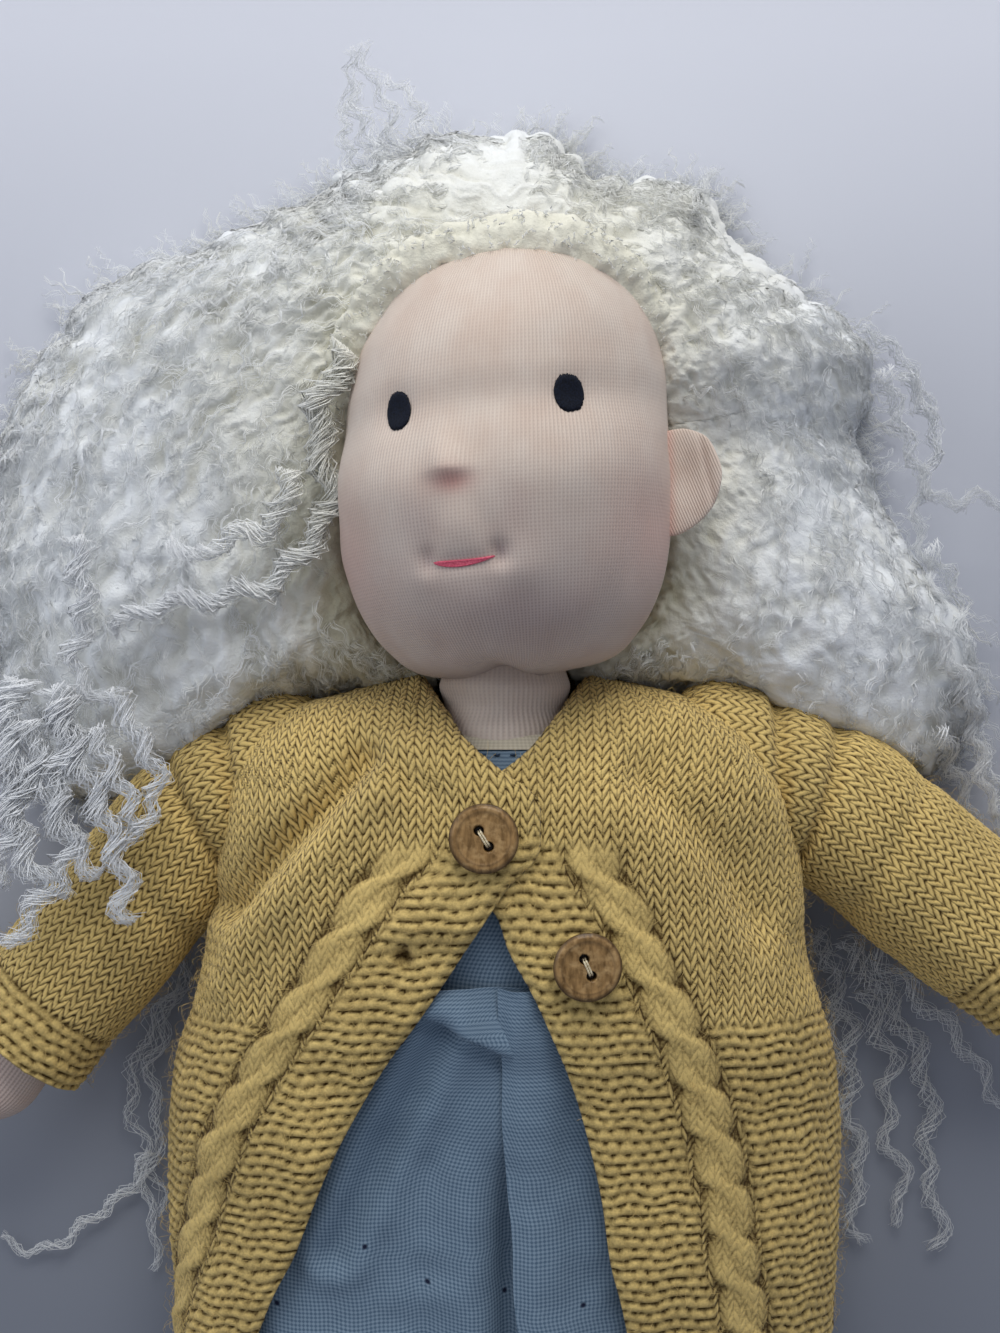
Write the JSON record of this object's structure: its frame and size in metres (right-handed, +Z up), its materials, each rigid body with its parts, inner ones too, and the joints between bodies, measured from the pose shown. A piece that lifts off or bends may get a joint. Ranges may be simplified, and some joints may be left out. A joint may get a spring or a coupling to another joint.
{
  "type": "waldorf doll",
  "caption": "soft cloth doll lying on its back, with long curly mohair hair, a blue cotton dress, a hand-knitted ochre cardigan and coconut buttons",
  "frame": {"origin": "on the table under the middle of the doll's box, the doll lying on its back", "axes": "+X to the doll's own left, +Y towards its head, +Z up out of its front"},
  "size_m": [0.2808, 0.3982, 0.0934],
  "materials": {
    "skin_tricot": "fine cotton knit",
    "wool_stuffing": "wound and stuffed wool",
    "white_thread": "twisted thread",
    "navy_thread": "satin stitch",
    "pink_thread": "stem stitch",
    "cap_knit": "crocheted cap",
    "white_mohair": "long curly mohair",
    "blue_cotton": "woven chambray",
    "cream_binding": "bias binding",
    "ochre_wool": "hand knit, slightly fuzzy",
    "coconut": "turned and polished shell",
    "cream_thread": "twisted thread"
  },
  "bodies": {
    "torso": {"torso": "skin_tricot", "neck": "skin_tricot", "neck_tie_thread": "white_thread", "dress_bodice": "blue_cotton", "neck_binding": "cream_binding", "left_skirt": "blue_cotton", "right_skirt": "blue_cotton", "cardigan_back": "ochre_wool", "cardigan_left_front": "ochre_wool", "cardigan_right_front": "ochre_wool", "button_band": "ochre_wool", "buttonhole_band": "ochre_wool", "upper_button": "coconut", "upper_button_thread": "cream_thread", "lower_button": "coconut", "lower_button_thread": "cream_thread", "right_hair_fall": "white_mohair", "left_hair_fall": "white_mohair", "back_hair_fall": "white_mohair"},
    "head": {"inner_head": "wool_stuffing", "eye_line_thread": "white_thread", "head_skin": "skin_tricot", "left_eye": "navy_thread", "right_eye": "navy_thread", "mouth": "pink_thread", "left_ear": "skin_tricot", "right_ear": "skin_tricot", "wig_cap": "cap_knit", "hair_crown": "white_mohair", "crown_tuft": "white_mohair"},
    "left_arm": {"left_arm": "skin_tricot", "left_sleeve": "ochre_wool", "left_cuff": "ochre_wool"},
    "right_arm": {"right_arm": "skin_tricot", "right_sleeve": "ochre_wool", "right_cuff": "ochre_wool"},
    "left_leg": {"left_leg": "skin_tricot"},
    "right_leg": {"right_leg": "skin_tricot"}
  },
  "joints": [
    {"name": "head_turn", "type": "hinge", "parent": "torso", "child": "head", "pos_m": [-0.00467, 0.08582, 0.04], "axis": [0, 1, 0], "range_deg": [-25, 38], "deforming": ["left_hair_fall", "right_hair_fall", "back_hair_fall"]},
    {"name": "left_arm_swing", "type": "hinge", "parent": "torso", "child": "left_arm", "pos_m": [0.04133, 0.05282, 0.0255], "axis": [0, 0, 1], "range_deg": [-10, 40], "deforming": ["left_hair_fall"]},
    {"name": "right_arm_swing", "type": "hinge", "parent": "torso", "child": "right_arm", "pos_m": [-0.05067, 0.05282, 0.0255], "axis": [0, 0, -1], "range_deg": [-10, 40], "deforming": ["right_hair_fall"]},
    {"name": "left_hip", "type": "hinge", "parent": "torso", "child": "left_leg", "pos_m": [0.01393, -0.03118, 0.0216], "axis": [-1, 0, 0], "range_deg": [0, 90], "deforming": ["left_skirt", "cardigan_left_front", "button_band"]},
    {"name": "right_hip", "type": "hinge", "parent": "torso", "child": "right_leg", "pos_m": [-0.02327, -0.03118, 0.0216], "axis": [-1, 0, 0], "range_deg": [0, 90], "deforming": ["right_skirt", "cardigan_right_front", "buttonhole_band"]}
  ]
}
